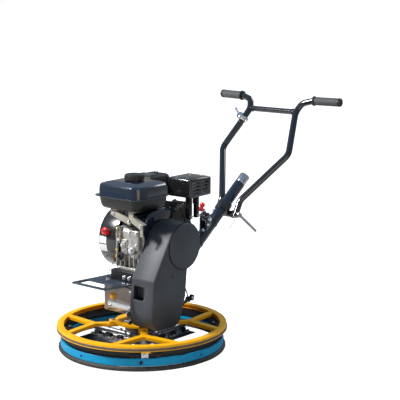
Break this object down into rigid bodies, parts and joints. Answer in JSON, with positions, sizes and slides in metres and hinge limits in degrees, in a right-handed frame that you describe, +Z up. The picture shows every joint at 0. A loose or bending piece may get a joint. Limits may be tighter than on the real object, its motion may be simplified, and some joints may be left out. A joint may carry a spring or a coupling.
{
  "type": "power trowel",
  "caption": "Walk-behind edging power trowel: a petrol engine turns pitched blades inside a guard ring, steered by a folding, adjustable handle.",
  "frame": {"origin": "on the floor, under the middle of the machine's outline; the blades' vertical axis stands 0.268 m ahead of it, at y = -0.268", "axes": "+Z up, +Y towards the operator, +X towards the belt guard"},
  "size_m": [0.61, 1.146, 0.8578],
  "materials": {
    "yellow_paint": "semi-gloss yellow enamel",
    "blue_paint": "semi-gloss blue enamel",
    "guard_grey": "satin grey enamel",
    "navy_paint": "gloss dark navy enamel",
    "black_paint": "gloss black enamel",
    "black_plastic": "moulded black",
    "rubber": "matte black",
    "cast_aluminium": "as cast, slightly dulled",
    "steel": "bare steel",
    "blade_steel": "dark rolled spring steel",
    "chrome": "bright plated",
    "bronze": "machined bronze",
    "red_plastic": "gloss red"
  },
  "bodies": {
    "root": {"gearbox_housing": "cast_aluminium", "gearbox_cover": "cast_aluminium", "guard_ring": "yellow_paint", "deck_plate": "navy_paint", "engine_mount": "black_paint", "crankcase": "cast_aluminium", "cylinder": "cast_aluminium", "cylinder_head": "cast_aluminium", "fuel_tank": "navy_paint", "muffler": "steel", "muffler_shield": "black_paint", "air_cleaner": "black_plastic", "carburettor": "cast_aluminium", "blower_housing": "black_paint", "starter_cover": "black_plastic", "belt_guard": "guard_grey", "belt_guard_back": "guard_grey", "v_belt": "rubber", "handle_bracket": "black_paint", "handle_base_tube": "navy_paint", "throttle_cable_lower": "black_plastic", "pitch_cable": "black_plastic"},
    "rotor": {"output_shaft": "steel", "worm_wheel": "bronze", "spider_hub": "steel"},
    "blade_1": {"trowel_arm_1": "steel", "trowel_blade_1": "blade_steel"},
    "blade_2": {"trowel_arm_2": "steel", "trowel_blade_2": "blade_steel"},
    "blade_3": {"trowel_arm_3": "steel", "trowel_blade_3": "blade_steel"},
    "blade_4": {"trowel_arm_4": "steel", "trowel_blade_4": "blade_steel"},
    "thrust_plate": {"thrust_plate": "steel"},
    "thrust_collar": {"thrust_collar": "steel"},
    "pitch_yoke": {"pitch_yoke": "black_paint"},
    "edge_ring": {"edge_ring": "blue_paint", "edge_bumper": "rubber"},
    "roller_1": {"ring_roller_1": "chrome"},
    "roller_2": {"ring_roller_2": "chrome"},
    "roller_3": {"ring_roller_3": "chrome"},
    "roller_4": {"ring_roller_4": "chrome"},
    "worm": {"worm_shaft": "steel", "driven_pulley": "steel"},
    "clutch": {"clutch_pulley": "steel"},
    "crank": {"crankshaft": "steel", "flywheel": "cast_aluminium"},
    "starter_grip": {"starter_grip": "black_plastic"},
    "stop_switch": {"stop_switch": "red_plastic"},
    "fuel_cap": {"fuel_cap": "black_plastic"},
    "fold_lock": {"fold_lock_knob": "red_plastic"},
    "handle": {"handle_tube": "navy_paint", "handle_clamp": "black_paint"},
    "pitch_knob": {"pitch_knob": "chrome"},
    "handlebar": {"handlebar": "black_paint", "grip_left": "rubber", "grip_right": "rubber", "throttle_cable_upper": "black_plastic"},
    "clamp_lever": {"clamp_lever": "chrome"},
    "throttle_lever": {"throttle_lever": "chrome"}
  },
  "joints": [
    {"name": "rotor_spin", "type": "hinge", "parent": "root", "child": "rotor", "pos_m": [0, -0.268, 0.1], "axis": [0, 0, 1], "continuous": true},
    {"name": "blade_pitch_1", "type": "hinge", "parent": "rotor", "child": "blade_1", "pos_m": [0, -0.268, 0.033], "axis": [1, 0, 0], "range_deg": [0, 15.1]},
    {"name": "blade_pitch_2", "type": "hinge", "parent": "rotor", "child": "blade_2", "pos_m": [0, -0.268, 0.033], "axis": [0, 1, 0], "range_deg": [0, 15.1]},
    {"name": "blade_pitch_3", "type": "hinge", "parent": "rotor", "child": "blade_3", "pos_m": [0, -0.268, 0.033], "axis": [-1, 0, 0], "range_deg": [0, 15.1]},
    {"name": "blade_pitch_4", "type": "hinge", "parent": "rotor", "child": "blade_4", "pos_m": [0, -0.268, 0.033], "axis": [0, -1, 0], "range_deg": [0, 15.1]},
    {"name": "thrust_plate_slide", "type": "slide", "parent": "rotor", "child": "thrust_plate", "axis": [0, 0, 1], "range_m": [-0.0079, 0]},
    {"name": "thrust_collar_slide", "type": "slide", "parent": "root", "child": "thrust_collar", "axis": [0, 0, 1], "range_m": [-0.0079, 0]},
    {"name": "yoke_tilt", "type": "hinge", "parent": "root", "child": "pitch_yoke", "pos_m": [0, -0.206, 0.0845], "axis": [1, 0, 0], "range_deg": [0, 7.3], "deforming": ["pitch_cable"]},
    {"name": "edge_ring_spin", "type": "hinge", "parent": "root", "child": "edge_ring", "pos_m": [0, -0.268, 0.0415], "axis": [0, 0, 1], "continuous": true},
    {"name": "roller_1_spin", "type": "hinge", "parent": "root", "child": "roller_1", "pos_m": [0.18279, -0.08521, 0.0415], "axis": [0, 0, 1], "continuous": true},
    {"name": "roller_2_spin", "type": "hinge", "parent": "root", "child": "roller_2", "pos_m": [-0.18279, -0.08521, 0.0415], "axis": [0, 0, 1], "continuous": true},
    {"name": "roller_3_spin", "type": "hinge", "parent": "root", "child": "roller_3", "pos_m": [-0.18279, -0.45079, 0.0415], "axis": [0, 0, 1], "continuous": true},
    {"name": "roller_4_spin", "type": "hinge", "parent": "root", "child": "roller_4", "pos_m": [0.18279, -0.45079, 0.0415], "axis": [0, 0, 1], "continuous": true},
    {"name": "worm_spin", "type": "hinge", "parent": "root", "child": "worm", "pos_m": [0, -0.31, 0.187], "axis": [1, 0, 0], "continuous": true},
    {"name": "clutch_spin", "type": "hinge", "parent": "root", "child": "clutch", "pos_m": [0.112, -0.218, 0.387], "axis": [1, 0, 0], "continuous": true},
    {"name": "crank_spin", "type": "hinge", "parent": "root", "child": "crank", "pos_m": [0, -0.218, 0.387], "axis": [1, 0, 0], "continuous": true},
    {"name": "starter_pull", "type": "slide", "parent": "root", "child": "starter_grip", "axis": [0, 0.6, 0.8], "range_m": [0, 0.5], "stiffness_N_per_m": 25},
    {"name": "stop_switch_turn", "type": "hinge", "parent": "root", "child": "stop_switch", "pos_m": [-0.113, -0.32606, 0.42004], "axis": [0, -0.9563, 0.2924], "range_deg": [0, 45]},
    {"name": "fuel_cap_turn", "type": "hinge", "parent": "root", "child": "fuel_cap", "pos_m": [-0.012, -0.288, 0.627], "axis": [0, 0, 1], "range_deg": [0, 90]},
    {"name": "fold_lock_pull", "type": "slide", "parent": "root", "child": "fold_lock", "axis": [0, -0.426, 0.9047], "range_m": [0, 0.01], "stiffness_N_per_m": 600, "springref_m": -0.01},
    {"name": "handle_fold", "type": "hinge", "parent": "root", "child": "handle", "pos_m": [0, 0.09304, 0.41758], "axis": [1, 0, 0], "range_deg": [0, 70], "deforming": ["throttle_cable_lower"]},
    {"name": "pitch_knob_turn", "type": "hinge", "parent": "handle", "child": "pitch_knob", "pos_m": [0, 0.29715, 0.5221], "axis": [0, 0.7969, 0.6041], "range_deg": [0, 1800]},
    {"name": "handlebar_tilt", "type": "hinge", "parent": "handle", "child": "handlebar", "pos_m": [0, 0.21849, 0.41844], "axis": [1, 0, 0], "range_deg": [-15, 20], "deforming": ["throttle_cable_upper"]},
    {"name": "clamp_lever_turn", "type": "hinge", "parent": "handle", "child": "clamp_lever", "pos_m": [0, 0.21849, 0.41844], "axis": [1, 0, 0], "range_deg": [-30, 60]},
    {"name": "throttle_turn", "type": "hinge", "parent": "handlebar", "child": "throttle_lever", "pos_m": [-0.12513, 0.46203, 0.76499], "axis": [0, -0.7982, 0.6024], "range_deg": [0, 60]}
  ],
  "couplings": [
    {"joint": "worm_spin", "follows": "rotor_spin", "ratio": 20},
    {"joint": "clutch_spin", "follows": "rotor_spin", "ratio": 35.294},
    {"joint": "roller_1_spin", "follows": "edge_ring_spin", "ratio": 25.714},
    {"joint": "roller_2_spin", "follows": "edge_ring_spin", "ratio": 25.714},
    {"joint": "roller_3_spin", "follows": "edge_ring_spin", "ratio": 25.714},
    {"joint": "roller_4_spin", "follows": "edge_ring_spin", "ratio": 25.714},
    {"joint": "yoke_tilt", "follows": "pitch_knob_turn", "ratio": 0.004},
    {"joint": "thrust_collar_slide", "follows": "pitch_knob_turn", "m_per_rad": -0.00024828},
    {"joint": "thrust_plate_slide", "follows": "pitch_knob_turn", "m_per_rad": -0.00024828},
    {"joint": "blade_pitch_1", "follows": "pitch_knob_turn", "ratio": 0.0083333},
    {"joint": "blade_pitch_2", "follows": "pitch_knob_turn", "ratio": 0.0083333},
    {"joint": "blade_pitch_3", "follows": "pitch_knob_turn", "ratio": 0.0083333},
    {"joint": "blade_pitch_4", "follows": "pitch_knob_turn", "ratio": 0.0083333}
  ]
}
